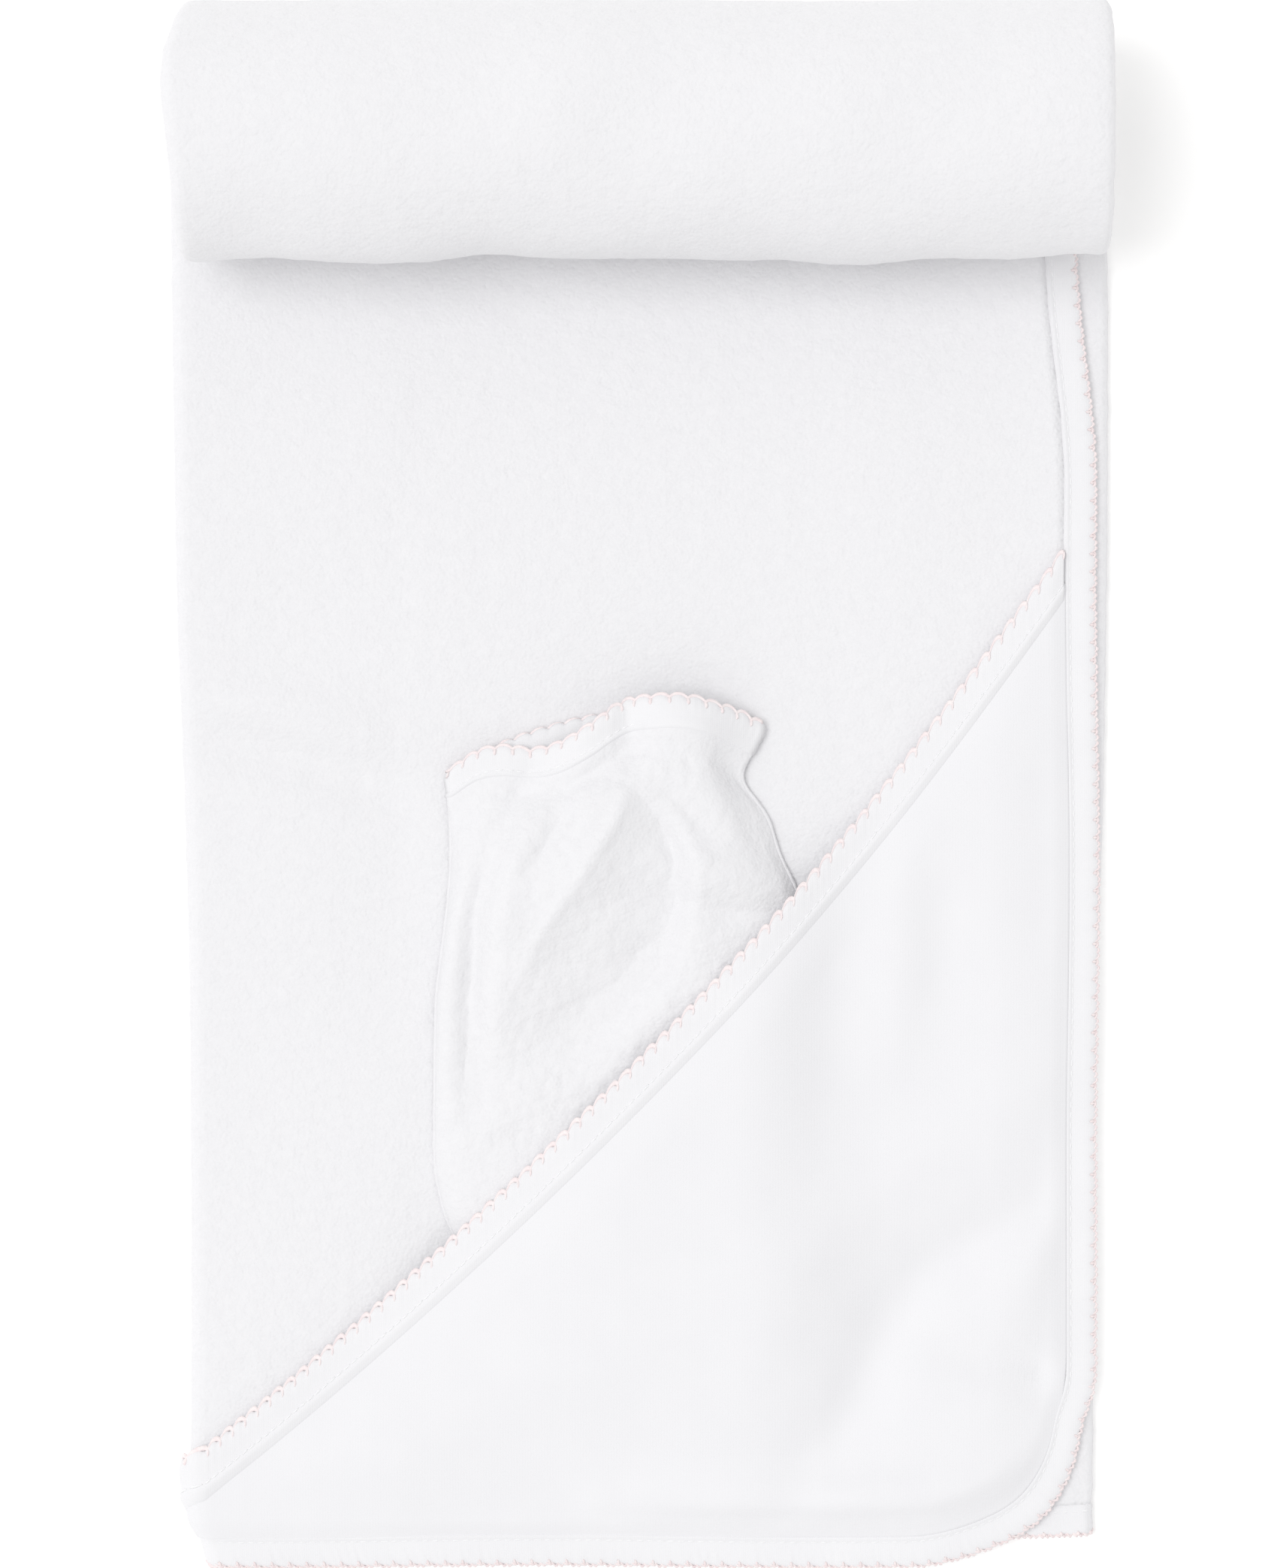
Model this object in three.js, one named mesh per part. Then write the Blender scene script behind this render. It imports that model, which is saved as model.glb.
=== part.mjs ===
// Hooded baby towel with its bath mitt: a square of terry cloth folded in three,
// rolled up from the far end, with the mitt tucked into the hood.
// Millimetres. +X runs across the folded stack, +Y from the hood to the roll, +Z up.
import * as THREE from 'three';

// ---- Towel cloth ----
const clothSide = 740;
const cornerRadius = 53;
const terry = 2.6;
const gap = 0.3;
const squash = 0.94;

// ---- Folded stack and roll ----
const pitch = terry + gap;
const stackHeight = 3 * terry + 2 * gap;
const stackHalfWidth = 127.05;
const bottomFoldStart = 243;
const middleFoldStart = 495.3;
const bottomFoldRadius = pitch;
const middleFoldRadius = pitch / 2;
const bottomFoldEnd = bottomFoldStart + Math.PI * bottomFoldRadius;
const middleFoldEnd = middleFoldStart + Math.PI * middleFoldRadius;
const flatLength = 383.7;
const rollRadius = 39;
const rollPitch = stackHeight + 2 * gap;
const rollSides = 16;
const lowerEdgeRise = 8;
const tipLift = 2.2;
const coreCurl = 1;
const coreOpening = 0.3;

// ---- Binding, picot and stitching, shared by the towel, the hood and the mitt ----
const bindingWidth = 8;
const bindingHalf = 1.2;
const slotHalf = 0.75;
const slotDepth = 1;
const tongueHalf = 0.45;
const stitchWidth = 0.5;
const picotGap = 0.4;
const picotReach = 1.4;
const picotHalf = 0.4;
const fullTerry = bindingWidth + 2 * gap + stitchWidth;

// ---- Hood ----
const hoodHalf = 0.35;
const mouthHalf = 1;
const hoodInset = fullTerry + gap;
const hoodBase = terry / 2 + gap + mouthHalf;
const mouthOffset = 263;
const mouthBow = 0.0003;
const hoodTipEnd = 259;

// ---- Mitt ----
const mittTipY = -150;
const mittLength = 167;
const mittHalfWidth = 50;
const mittCuffHalfWidth = 42.6;
const mittTerryHalf = 1.2;
const mittEdgeRadius = 2.2;
const mittSeamSize = 1.8;

// The roll's axis stands where the whole object is centred on Y.
const rollCentreY = (flatLength + picotReach - rollRadius + rollPitch / 4) / 2;
const towelTop = squash * stackHeight;

const terryCloth = { color: 0xf3f3f5, roughness: 0.95, metalness: 0 };
const jerseyCloth = { color: 0xf5f4f7, roughness: 0.85, metalness: 0 };
const bindingCloth = { color: 0xf4f4f7, roughness: 0.85, metalness: 0 };
const pinkThread = { color: 0xf3dedf, roughness: 0.7, metalness: 0 };
const whiteThread = { color: 0xf7f7f8, roughness: 0.7, metalness: 0 };

const clamp = THREE.MathUtils.clamp;
const lerp = THREE.MathUtils.lerp;
const smooth = (x, from, to) => THREE.MathUtils.smoothstep(x, from, to);

// ---- Closed meshes ----

const tooClose = 1e-4;

// A named mesh facing outwards, without the triangles whose corners meet.
function mesh(name, finish, triangles) {
  const kept = triangles.filter(([a, b, c]) => {
    return Math.min(a.distanceTo(b), b.distanceTo(c), c.distanceTo(a)) > tooClose;
  });
  const volume = kept.reduce((sum, [a, b, c]) => sum + a.dot(b.clone().cross(c)), 0);
  const points = kept.flatMap(([a, b, c]) => (volume > 0 ? [a, b, c] : [a, c, b]));
  const geometry = new THREE.BufferGeometry().setFromPoints(points);
  geometry.computeVertexNormals();
  const made = new THREE.Mesh(geometry, new THREE.MeshStandardMaterial(finish));
  made.name = name;
  return made;
}

function quad(triangles, a, b, c, d) {
  triangles.push([a, b, c], [a, c, d]);
}

// The border of a grid of cells, as [column, row] pairs in order round it.
function border(columns, rows) {
  const loop = [];
  for (let i = 0; i < columns; i++) loop.push([i, 0]);
  for (let j = 0; j < rows; j++) loop.push([columns, j]);
  for (let i = columns; i > 0; i--) loop.push([i, rows]);
  for (let j = rows; j > 0; j--) loop.push([0, j]);
  return loop;
}

// A closed sheet: at(i, j, 1) is on its upper face, at(i, j, -1) on its lower one,
// and rim(i, j) lists the points of its edge between the two.
function sheet(columns, rows, at, rim = () => []) {
  const triangles = [];
  for (let i = 0; i < columns; i++) {
    for (let j = 0; j < rows; j++) {
      quad(triangles, at(i, j, 1), at(i + 1, j, 1), at(i + 1, j + 1, 1), at(i, j + 1, 1));
      quad(triangles, at(i, j, -1), at(i, j + 1, -1), at(i + 1, j + 1, -1), at(i + 1, j, -1));
    }
  }
  const edges = border(columns, rows).map(([i, j]) => [at(i, j, 1), ...rim(i, j), at(i, j, -1)]);
  edges.forEach((near, k) => {
    const far = edges[(k + 1) % edges.length];
    for (let m = 0; m + 1 < near.length; m++) {
      const corners = [near[m], near[m + 1], far[m + 1], far[m]];
      if (m >= near.length / 2) corners.push(corners.shift());
      quad(triangles, ...corners);
    }
  });
  return triangles;
}

// A section swept through stations: at(k, point) places a section point at station k.
// A ring closes on itself, and a bar is capped at both ends. Every side is cut corner to corner
// the same way as the cloth beside it, so that the two stay parallel where they bend.
function sweep(stations, section, at, closed) {
  const triangles = [];
  const spans = closed ? stations : stations - 1;
  for (let k = 0; k < spans; k++) {
    const next = (k + 1) % stations;
    section.forEach((point, m) => {
      const other = section[(m + 1) % section.length];
      const corners = [at(k, point), at(k, other), at(next, other), at(next, point)];
      if (point.x < other.x) corners.push(corners.shift());
      quad(triangles, ...corners);
    });
  }
  if (!closed) {
    THREE.ShapeUtils.triangulateShape(section, []).forEach(([a, b, c]) => {
      const near = [c, b, a].map((m) => at(0, section[m]));
      const far = [a, b, c].map((m) => at(stations - 1, section[m]));
      triangles.push(near, far);
    });
  }
  return triangles;
}

// ---- Sections, as (distance in from the edge, height above the middle of the cloth) ----

const point = (d, n) => new THREE.Vector2(d, n);

function block(from, to, low, high) {
  return [point(from, low), point(to, low), point(to, high), point(from, high)];
}

// A strip folded over an edge, open towards the cloth.
function foldedStrip(half, slot) {
  return [
    point(0, -half), point(bindingWidth, -half), point(bindingWidth, -slot), point(slotDepth, -slot),
    point(slotDepth, slot), point(bindingWidth, slot), point(bindingWidth, half), point(0, half),
  ];
}

const stitchRow = block(bindingWidth + gap, bindingWidth + gap + stitchWidth, tongueHalf + gap, bindingHalf);
const picotCord = block(-picotReach, -picotGap, -picotHalf, picotHalf);

// ---- The folded and rolled cloth ----

// Where the folds and bound edges lie across the stack, at a distance v up the cloth.
function leftFold(v) {
  const pulledIn = 4.5 * clamp(1 - v / 25, 0, 1) ** 2;
  const rollTaper = 3.4 * smooth(v, 380, 430);
  return -stackHalfWidth + 5.3 * (1 - smooth(v, 90, 350)) + pulledIn + rollTaper;
}

function rightFold(v) {
  const rollTaper = 2.2 * smooth(v, 380, 430);
  return stackHalfWidth - 4 * (1 - smooth(v, 90, 290)) - rollTaper;
}

function boundEdge(v) {
  return 123.55 - 5 * smooth(v, 290, 355);
}

function innerEdge(v) {
  return leftFold(v) + 8.5;
}

// Place across the stack and height in it of a point u across the cloth, n off its middle.
function folded(u, v, n) {
  const opening = 1 + coreOpening * smooth(v, clothSide - cornerRadius, clothSide - bindingWidth);
  const wide = bottomFoldRadius * opening;
  const tight = middleFoldRadius * opening;
  const left = leftFold(v) + wide + terry / 2;
  const right = rightFold(v) - tight - terry / 2;
  const bottom = terry / 2;
  if (u <= bottomFoldStart) {
    return [lerp(boundEdge(v), left, u / bottomFoldStart), bottom + 2 * wide + n, 0];
  }
  if (u <= bottomFoldEnd) {
    const turn = (Math.PI * (u - bottomFoldStart)) / (bottomFoldEnd - bottomFoldStart);
    const r = wide + n;
    return [left - r * Math.sin(turn), bottom + wide + r * Math.cos(turn), 0];
  }
  if (u <= middleFoldStart) {
    const share = (u - bottomFoldEnd) / (middleFoldStart - bottomFoldEnd);
    return [lerp(left, right, share), bottom - n, share];
  }
  if (u <= middleFoldEnd) {
    const turn = (Math.PI * (u - middleFoldStart)) / (middleFoldEnd - middleFoldStart);
    const r = tight + n;
    return [right + r * Math.sin(turn), bottom + tight - r * Math.cos(turn), 1];
  }
  const share = (u - middleFoldEnd) / (clothSide - middleFoldEnd);
  return [lerp(right, innerEdge(v), share), bottom + 2 * tight + n, 1 - share];
}

const rollLead = rollRadius - stackHeight / 2;
const rollTighten = rollPitch / (4 * Math.PI);

function rollAngle(v) {
  const past = v - flatLength;
  return (rollLead - Math.sqrt(rollLead ** 2 - 4 * rollTighten * past)) / (2 * rollTighten);
}

// The stack stands a little higher over the hood's tip, which is wrapped beneath it.
function lift(x, y) {
  return tipLift * clamp((-10 - x) / 80, 0, 1) * clamp((-80 - y) / 100, 0, 1);
}

// u runs across the cloth from the bound edge on top, v from the hood's edge to the roll,
// and n off the middle of the cloth, towards the face that carries the hood.
function place(u, v, n) {
  const [x, height, skew] = folded(u, v, n);
  const along = v + lowerEdgeRise * skew * clamp(1 - v / flatLength, 0, 1);
  if (along <= flatLength) {
    const y = rollCentreY + along - flatLength;
    return new THREE.Vector3(x, y, squash * height + lift(x, y));
  }
  const angle = rollAngle(along);
  const curl = coreCurl * smooth(along, clothSide - cornerRadius, clothSide - bindingWidth);
  const r = rollRadius - (rollPitch * angle) / (2 * Math.PI) - height - curl;
  const y = rollCentreY + r * Math.sin(angle);
  return new THREE.Vector3(x, y, squash * (rollRadius - r * Math.cos(angle)));
}

// ---- Grid of the cloth inside its binding ----

function steps(from, to, count) {
  return Array.from({ length: count }, (_, k) => lerp(from, to, (k + 1) / count));
}

const acrossCloth = [
  fullTerry, ...steps(fullTerry, 133, 1), ...steps(133, 213, 1), ...steps(213, bottomFoldStart, 1),
  ...steps(bottomFoldStart, bottomFoldEnd, 6), ...steps(bottomFoldEnd, 284, 1), ...steps(284, 364, 1),
  ...steps(364, middleFoldStart, 1), ...steps(middleFoldStart, middleFoldEnd, 4),
  ...steps(middleFoldEnd, 632, 1), ...steps(632, 712, 1), clothSide - fullTerry,
];

function rollRows() {
  const rows = [];
  const last = clothSide - fullTerry;
  for (let k = 1; ; k++) {
    const angle = (2 * Math.PI * k) / rollSides;
    const v = flatLength + rollLead * angle - rollTighten * angle ** 2;
    if (v > last - 3) return [...rows, last];
    rows.push(v);
  }
}

const cornerRows = [0, 1, 2, 3, 4, 5].map((k) => {
  return cornerRadius - (cornerRadius - fullTerry) * Math.cos((k * Math.PI) / 10);
});
const alongCloth = [...cornerRows, ...steps(cornerRadius, flatLength, 7), ...rollRows()];
const columns = acrossCloth.length - 1;
const rows = alongCloth.length - 1;

// How far in from the cloth's straight side its rounded outline lies at v, for an inset outline.
function cornerCut(v, inset) {
  const past = Math.max(cornerRadius - v, v - (clothSide - cornerRadius), 0);
  const radius = cornerRadius - inset;
  return cornerRadius - Math.sqrt(Math.max(radius ** 2 - past ** 2, 0));
}

function gridPoint(i, j) {
  const v = alongCloth[j];
  const cut = cornerCut(v, fullTerry);
  return [clamp(acrossCloth[i], cut, clothSide - cut), v];
}

// A point d in from the cloth's outline, beside a point of the grid's border.
function outlinePoint(i, j, d, n) {
  const [u, v] = gridPoint(i, j);
  const coreU = clamp(u, cornerRadius, clothSide - cornerRadius);
  const coreV = clamp(v, cornerRadius, clothSide - cornerRadius);
  const reach = (cornerRadius - d) / Math.hypot(u - coreU, v - coreV);
  return place(coreU + (u - coreU) * reach, coreV + (v - coreV) * reach, n);
}

function towelBody() {
  const faces = (i, j, face) => place(...gridPoint(i, j), (face * terry) / 2);
  const tongue = (i, j) => {
    const tip = slotDepth + gap;
    const profile = [
      [fullTerry, 1], [bindingWidth, 1], [tip, 1], [tip, -1], [bindingWidth, -1], [fullTerry, -1],
    ];
    return profile.map(([d, face]) => outlinePoint(i, j, d, face * tongueHalf));
  };
  return mesh('towel_body', terryCloth, sheet(columns, rows, faces, tongue));
}

// A piece that runs right round the cloth's outline.
function roundTheCloth(name, finish, section) {
  const loop = border(columns, rows);
  const at = (k, p) => outlinePoint(...loop[k], p.x, p.y);
  return mesh(name, finish, sweep(loop.length, section, at, true));
}

// ---- Hood ----

// The mouth's outer edge, as v at a given u: a diagonal that bows a little towards the corner.
function mouthEdge(u) {
  let v = mouthOffset - u;
  for (let k = 0; k < 8; k++) v = mouthOffset + mouthBow * (v - u) ** 2 - u;
  return v;
}

// How far the hood stands off the towel, at its highest over the mitt.
function vault(u, v) {
  const a = u - hoodInset;
  const b = v - hoodInset;
  const c = bottomFoldStart - u;
  const puff = 5 * smooth(a, 0, 24) * smooth(b, 0, 24) * smooth(c, 0, 60);
  return puff + 13 * smooth(a, 0, 110) * smooth(b, 0, 110) * smooth(c, 0, 90);
}

function placeHood(u, v, n) {
  return place(u, v, hoodBase + vault(u, v) + n);
}

const acrossHood = [
  ...[0, 1, 2, 3, 4, 5].map((k) => cornerRadius - (cornerRadius - hoodInset) * Math.cos((k * Math.PI) / 10)),
  ...steps(cornerRadius, 213, 8), ...steps(213, bottomFoldStart, 2),
  ...steps(bottomFoldStart, bottomFoldEnd, 6), hoodTipEnd,
];
const hoodRows = [0, 0.05, 0.11, 0.2, 0.32, 0.46, 0.62, 0.8, 1];
const mouthRow = hoodRows.length;
const slant = Math.SQRT2;

function hoodPanel() {
  const at = (i, j, face) => {
    const u = acrossHood[i];
    const low = u < cornerRadius ? cornerCut(u, hoodInset) : hoodInset;
    const high = mouthEdge(u) - bindingWidth * slant;
    const v = j < mouthRow ? lerp(low, high, hoodRows[j]) : mouthEdge(u) - (slotDepth + gap) * slant;
    return placeHood(u, v, face * hoodHalf);
  };
  return mesh('hood_panel', jerseyCloth, sheet(acrossHood.length - 1, mouthRow, at));
}

// A piece that runs along the hood's mouth, cut square to the towel's bottom edge at both ends.
function alongTheMouth(name, finish, section) {
  const at = (k, p) => placeHood(acrossHood[k], mouthEdge(acrossHood[k]) - p.x * slant, p.y);
  return mesh(name, finish, sweep(acrossHood.length, section, at, false));
}

// ---- Mitt ----

const mittHalfAt = (s) => {
  const past = clamp((s / mittLength - 0.65) / 0.37, 0, 1);
  return lerp(mittCuffHalfWidth, mittHalfWidth, smooth(s, 12, 70)) * Math.sqrt(1 - past ** 2);
};
const mittCentreAt = (s) => lerp(-9.6, -5, smooth(s, 0, 60));
const mittBackHeight = towelTop + gap + bindingHalf + 0.1;

// across runs from -1 to 1 over the mitt's width, and s down it from the cuff's edge.
function mittPlan(across, s) {
  const cuffY = 13 + 6.7 * across + 7 * (1 - across ** 2);
  const x = mittCentreAt(s) + across * mittHalfAt(s);
  return [x, lerp(cuffY, mittTipY, s / mittLength)];
}

function mittFrontHeight(across, s) {
  const crown = 3 + 12 * (1 - smooth(s, 30, 110));
  const pleat = 0.3 * Math.exp(-(((across - 0.1) / 0.2) ** 2)) * smooth(s, 0, 20);
  return mittBackHeight + 2 * mittEdgeRadius + crown * (1 - across ** 2 - pleat);
}

const mittColumns = 12;
const mittRows = [
  [slotDepth + gap, tongueHalf], [fullTerry, tongueHalf], [fullTerry + gap, mittTerryHalf],
  ...[25, 42, 60, 80, 100, 120, 137, 150, 160, mittLength].map((s) => [s, mittTerryHalf]),
];

function mittPanel(name, height) {
  const at = (i, j, face) => {
    const across = lerp(1, -1, i / mittColumns);
    const [s, half] = mittRows[j];
    return new THREE.Vector3(...mittPlan(across, s), height(across, s) + face * half);
  };
  return mesh(name, terryCloth, sheet(mittColumns, mittRows.length - 1, at));
}

// Stations round the cuff: over the front, round one side, back underneath, round the other.
const cuffStations = [
  ...steps(-1, 1, mittColumns).map((across) => ({ across, turn: 0 })),
  ...[0.25, 0.5, 0.75, 1].map((half) => ({ across: 1, turn: half * Math.PI })),
  ...steps(1, -1, 6).map((across) => ({ across, turn: Math.PI })),
  ...[0.75, 0.5, 0.25, 0].map((half) => ({ across: -1, turn: half * Math.PI })),
];

function cuffPoint(k, p) {
  const { across, turn } = cuffStations[k];
  const [x, y] = mittPlan(across, p.x);
  const r = mittEdgeRadius + p.y;
  if (turn === 0) return new THREE.Vector3(x, y, mittFrontHeight(across, p.x) + p.y);
  if (turn === Math.PI) return new THREE.Vector3(x, y, mittBackHeight - p.y);
  const middle = mittBackHeight + mittEdgeRadius;
  return new THREE.Vector3(x + across * r * Math.sin(turn), y, middle + r * Math.cos(turn));
}

function roundTheCuff(name, finish, section) {
  return mesh(name, finish, sweep(cuffStations.length, section, cuffPoint, true));
}

// The seam that joins the mitt's two panels, down one side, round the tip and up the other.
function mittSeam() {
  const downSide = [fullTerry + gap, 25, 42, 60, 80, 100, 120, 137, 150, 160, mittLength];
  const route = [
    ...downSide.map((s) => [-1, s]), ...steps(-1, 1, 4).slice(0, 3).map((across) => [across, mittLength]),
    ...downSide.map((s) => [1, s]).reverse(),
  ].map(([across, s]) => new THREE.Vector2(...mittPlan(across, s)));
  const at = (k, p) => {
    const ahead = route[Math.min(k + 1, route.length - 1)].clone().sub(route[k]).normalize();
    const behind = route[k].clone().sub(route[Math.max(k - 1, 0)]).normalize();
    const along = ahead.add(behind).normalize();
    const reach = p.x + gap;
    const height = mittBackHeight + mittEdgeRadius + p.y;
    return new THREE.Vector3(route[k].x + along.y * reach, route[k].y - along.x * reach, height);
  };
  const section = block(0.2, 0.2 + mittSeamSize, -mittSeamSize / 2, mittSeamSize / 2);
  return mesh('mitt_side_seam', whiteThread, sweep(route.length, section, at, false));
}

// ---- Assembly ----

function hoodedTowel() {
  const towel = new THREE.Group();
  towel.add(
    towelBody(),
    roundTheCloth('edge_binding', bindingCloth, foldedStrip(bindingHalf, slotHalf)),
    roundTheCloth('edge_topstitch', whiteThread, stitchRow),
    roundTheCloth('edge_picot', pinkThread, picotCord),
  );
  return towel;
}

function hood() {
  const group = new THREE.Group();
  const slot = hoodHalf + gap;
  const start = bindingWidth + gap;
  const seam = block(start, start + stitchWidth, hoodHalf + gap, mouthHalf);
  group.add(
    hoodPanel(),
    alongTheMouth('hood_mouth_binding', bindingCloth, foldedStrip(mouthHalf, slot)),
    alongTheMouth('hood_mouth_topstitch', whiteThread, seam),
    alongTheMouth('hood_mouth_picot', pinkThread, picotCord),
  );
  return group;
}

function mitt() {
  const group = new THREE.Group();
  group.add(
    mittPanel('mitt_front', mittFrontHeight),
    mittPanel('mitt_back', () => mittBackHeight),
    mittSeam(),
    roundTheCuff('mitt_cuff_binding', bindingCloth, foldedStrip(bindingHalf, slotHalf)),
    roundTheCuff('mitt_cuff_topstitch', whiteThread, stitchRow),
    roundTheCuff('mitt_cuff_picot', pinkThread, picotCord),
  );
  return group;
}

const assembly = new THREE.Group();
assembly.add(hoodedTowel(), hood(), mitt());

export default assembly;
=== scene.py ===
"""Hooded baby towel, folded in three and rolled, with its mitt in the hood: cloth, edges and threads."""

import math

import bpy
import numpy as np
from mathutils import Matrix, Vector


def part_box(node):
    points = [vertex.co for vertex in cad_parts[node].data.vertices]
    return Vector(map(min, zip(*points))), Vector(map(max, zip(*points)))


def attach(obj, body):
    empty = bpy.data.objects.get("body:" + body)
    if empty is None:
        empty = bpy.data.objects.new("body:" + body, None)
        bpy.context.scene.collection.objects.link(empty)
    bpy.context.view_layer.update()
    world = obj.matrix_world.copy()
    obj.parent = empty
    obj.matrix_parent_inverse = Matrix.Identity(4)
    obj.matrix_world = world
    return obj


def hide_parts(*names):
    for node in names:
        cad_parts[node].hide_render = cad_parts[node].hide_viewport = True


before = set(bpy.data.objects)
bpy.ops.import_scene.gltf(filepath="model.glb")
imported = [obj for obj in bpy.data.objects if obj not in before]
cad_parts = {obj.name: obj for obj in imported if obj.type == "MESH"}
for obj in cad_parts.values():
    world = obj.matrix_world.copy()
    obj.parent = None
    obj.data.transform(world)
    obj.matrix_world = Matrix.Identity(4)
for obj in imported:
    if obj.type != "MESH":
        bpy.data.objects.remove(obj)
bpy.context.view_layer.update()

MM = 0.001  # every shape below is worked out in millimetres

# ---- Sizes of the cloth and its folds, in the place that the frame gives them ----
SIDE = 740  # the towel is a square
CORNER = 53  # radius of its round corners
TERRY = 2.6  # thickness
GAP = 0.3  # air between layers
SQUASH = 0.94  # how much the towel's own weight leaves of its height
STACK = 3 * TERRY + 2 * GAP
HALF_WIDTH = 127.05
FIRST_FOLD = 243  # across the cloth from the bound edge, to where the left fold starts
SECOND_FOLD = 495.3  # and to where the right fold starts
WIDE = TERRY + GAP  # bend radius of the left fold, from the top layer to the bottom one
TIGHT = WIDE / 2  # and of the right fold, from the bottom layer to the one between
FIRST_END = FIRST_FOLD + math.pi * WIDE
SECOND_END = SECOND_FOLD + math.pi * TIGHT
FLAT = 383.7  # length that isn't rolled up
ROLL_RADIUS = 39
ROLL_PITCH = STACK + 2 * GAP
LOWER_EDGE_RISE = 8  # how far the hidden layers' lower edge is drawn back
TIP_LIFT = 2.2  # the hood's third corner lies under the left fold and lifts it
CORE_CURL = 1  # how far the rolled-up end springs in from the last turn
CORE_OPENING = 0.3  # and by what share its folds open
CORNER_MIDDLE = (71.8, -155.7)  # middle of the top layer's round corner, in x and y
PICOT_REACH = 1.4  # past the binding's rim
ROLL_Y = (FLAT + PICOT_REACH - ROLL_RADIUS + ROLL_PITCH / 4) / 2
TOWEL_TOP = SQUASH * STACK

# ---- Sizes of the edges, measured in from the rim ----
TAPE = 8
TAPE_INSIDE = 9.7
CLOTH_INSET = 8.3
STITCH_LINE = 7.05
SCALLOP = 4.8  # from notch to notch
PICOT_SIDES = 6
HIDDEN_SHARE = 0.66  # what is left of an edge's height where other cloth presses on it

# ---- Sizes of the hood ----
HOOD_BASE = TERRY / 2 + GAP + 1.35
HOOD_HALF = 0.35
HOOD_INSET = 8.8
HOOD_TIP_END = 259
HOOD_TUCK = 8.1
HOOD_CORNER = (123.5, -209.5)  # the cloth's corner in x and y, before it is rounded
MOUTH = 263  # where the mouth meets the cloth's edges, from its corner
MOUTH_BOW = 0.0003
SLANT = math.sqrt(2)  # the mouth is a diagonal

# ---- Sizes of the mitt ----
MITT_TIP_Y = -150
MITT_LENGTH = 167
MITT_HALF_WIDTH = 50
MITT_CUFF_HALF_WIDTH = 42.6
MITT_MIDDLE_X = -5
MITT_THICK = 2.4
MITT_BACK = TOWEL_TOP + GAP + 1.3


def clamp(x):
    return np.clip(x, 0.0, 1.0)


def lerp(a, b, t):
    return a + (b - a) * t


def smooth(x, low, high):
    """A soft step from 0 at low to 1 at high."""
    t = clamp((x - low) / (high - low))
    return t * t * (3 - 2 * t)


def hump(x, middle, width):
    """A bell-shaped rise from 0 to 1 and back."""
    return np.exp(-(((x - middle) / width) ** 2))


def through(points, x):
    """A smooth curve through a few (place, value) points."""
    at, value = np.array(points, float).T
    slope = np.gradient(value, at)
    k = np.clip(np.searchsorted(at, x, side="right") - 1, 0, len(at) - 2)
    span = at[k + 1] - at[k]
    t = clamp((x - at[k]) / span)
    rise = t * t * (3 - 2 * t)
    bends = (t**3 - 2 * t**2 + t) * slope[k] + (t**3 - t**2) * slope[k + 1]
    return value[k] * (1 - rise) + value[k + 1] * rise + span * bends


def ripples(seed, wavelength, waves=18):
    """A smooth random field of two coordinates, mostly within -1 to 1, whose features have one size."""
    draw = np.random.default_rng(seed)
    heading = draw.uniform(0, 2 * math.pi, waves)
    number = 2 * math.pi / (wavelength * draw.uniform(0.65, 1.4, waves))
    phase = draw.uniform(0, 2 * math.pi, waves)

    def field(x, y):
        total = 0.0
        for k, angle, shift in zip(number, heading, phase):
            total = total + np.sin(k * (x * math.cos(angle) + y * math.sin(angle)) + shift)
        return total / math.sqrt(waves)

    return field


def near_line(x, y, points, width):
    """1 on a line through a few points, fading away from it and towards both of its ends."""
    points = np.array(points, float)
    spans = np.linalg.norm(np.diff(points, axis=0), axis=1)
    way = np.concatenate([[0], np.cumsum(spans)])
    nearest = np.full(np.shape(x), 1e9)
    share = np.zeros(np.shape(x))
    for (ax, ay), (bx, by), start, span in zip(points[:-1], points[1:], way, spans):
        t = clamp(((x - ax) * (bx - ax) + (y - ay) * (by - ay)) / span**2)
        distance = np.hypot(x - lerp(ax, bx, t), y - lerp(ay, by, t))
        closer = distance < nearest
        nearest = np.where(closer, distance, nearest)
        share = np.where(closer, (start + t * span) / way[-1], share)
    return np.exp(-((nearest / width) ** 2)) * np.sin(math.pi * np.clip(share, 0.03, 0.97)) ** 0.5


def relief(x, y, lines):
    """Creases and swells together, each given as its height, its width and the line that it follows."""
    return sum(height * near_line(x, y, line, width) for height, width, line in lines)


# ---- How the cloth is folded and rolled ----


def left_fold(v):
    """The towel's left side, v up from the hood's edge."""
    pulled_in = 4.5 * clamp(1 - v / 25) ** 2
    roll_taper = 4.4 * smooth(v, 380, 430) - 2.8 * hump(v, 472, 17)
    return -HALF_WIDTH + 5.3 * (1 - smooth(v, 90, 350)) + pulled_in + roll_taper


def right_fold(v):
    """The hidden layers' right side."""
    roll_taper = 2.2 * smooth(v, 380, 430)
    return HALF_WIDTH - 4 * (1 - smooth(v, 90, 290)) - roll_taper


def bound_edge(v):
    """The top layer's right side."""
    return 123.55 - 5 * smooth(v, 290, 355)


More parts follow.
